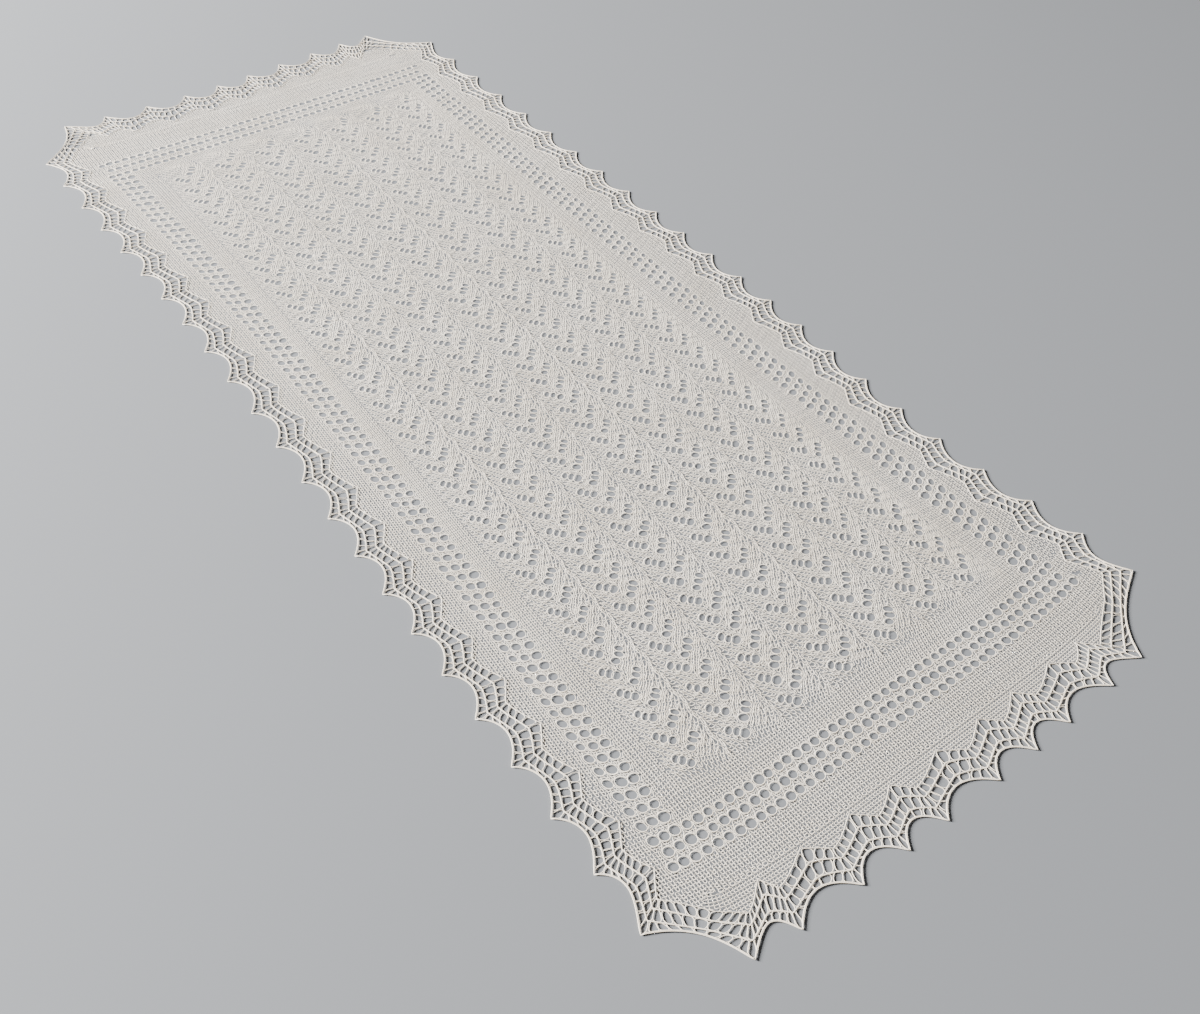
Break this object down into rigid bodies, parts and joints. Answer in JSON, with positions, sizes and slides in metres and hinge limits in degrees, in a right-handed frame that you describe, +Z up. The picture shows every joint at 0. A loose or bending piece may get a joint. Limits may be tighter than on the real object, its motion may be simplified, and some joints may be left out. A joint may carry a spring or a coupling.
{
  "type": "lace shawl",
  "caption": "Rectangular hand-knitted lace shawl laid flat, with a fern lace panel, eyelet bands and a scalloped net edging.",
  "frame": {"origin": "on the surface that the shawl lies on, under the middle of its outline", "axes": "+Y along the shawl from the near short end to the far one, +X to the right across it, +Z up off the surface"},
  "size_m": [0.622, 1.508, 0.0015],
  "materials": {
    "panel_yarn": "matt fine wool, slightly fuzzy",
    "band_yarn": "matt fine wool, slightly fuzzy",
    "edging_yarn": "matt fine wool, slightly fuzzy"
  },
  "bodies": {
    "root": {"fern_panel": "panel_yarn", "band_near": "band_yarn", "band_far": "band_yarn", "band_left": "band_yarn", "band_right": "band_yarn", "edging_near": "edging_yarn", "edging_far": "edging_yarn", "edging_left": "edging_yarn", "edging_right": "edging_yarn"}
  },
  "joints": []
}
